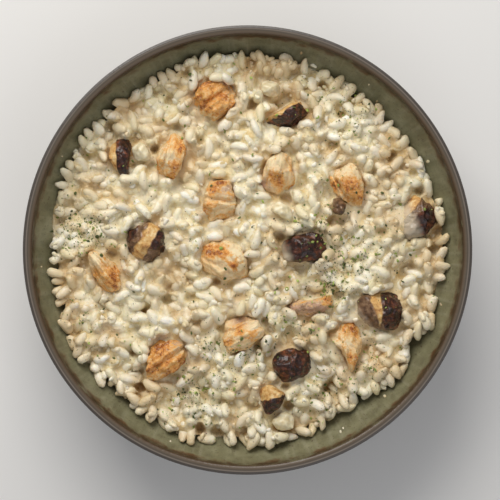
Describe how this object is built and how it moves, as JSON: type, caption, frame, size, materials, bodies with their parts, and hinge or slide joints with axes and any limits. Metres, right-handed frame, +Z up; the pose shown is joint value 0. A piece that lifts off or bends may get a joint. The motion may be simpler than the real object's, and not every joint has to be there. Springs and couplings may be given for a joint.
{
  "type": "mushroom risotto in a bowl",
  "caption": "Creamy mushroom risotto heaped in a shallow round stoneware bowl, with seared chicken and mushroom chunks and chopped herbs on top.",
  "frame": {"origin": "centre of the foot ring's underside, on the surface the bowl stands on", "axes": "+Z up through the middle of the bowl, +Y away from the diner, +X to the right"},
  "size_m": [0.2, 0.2, 0.055],
  "materials": {
    "stoneware": "olive green reactive glaze, brown where it breaks over the lip, dark satin outside, bare clay foot",
    "rice": "cooked short-grain rice in a glossy cream sauce",
    "seared_chicken": "tan cooked meat, browned and a little glossy where it was seared",
    "mushroom": "wet dark brown cap skin, cream and orange-brown cut faces",
    "onion": "pale soft translucent onion"
  },
  "bodies": {
    "root": {"bowl": "stoneware", "risotto": "rice", "chicken_1": "seared_chicken", "chicken_2": "seared_chicken", "chicken_3": "seared_chicken", "chicken_4": "seared_chicken", "chicken_5": "seared_chicken", "chicken_6": "seared_chicken", "chicken_7": "seared_chicken", "chicken_8": "seared_chicken", "chicken_9": "seared_chicken", "chicken_10": "seared_chicken", "chicken_11": "seared_chicken", "mushroom_1": "mushroom", "mushroom_2": "mushroom", "mushroom_3": "mushroom", "mushroom_4": "mushroom", "mushroom_5": "mushroom", "mushroom_6": "mushroom", "mushroom_7": "mushroom", "mushroom_8": "mushroom", "mushroom_9": "mushroom", "onion_1": "onion", "onion_2": "onion", "onion_3": "onion", "onion_4": "onion"}
  },
  "joints": []
}
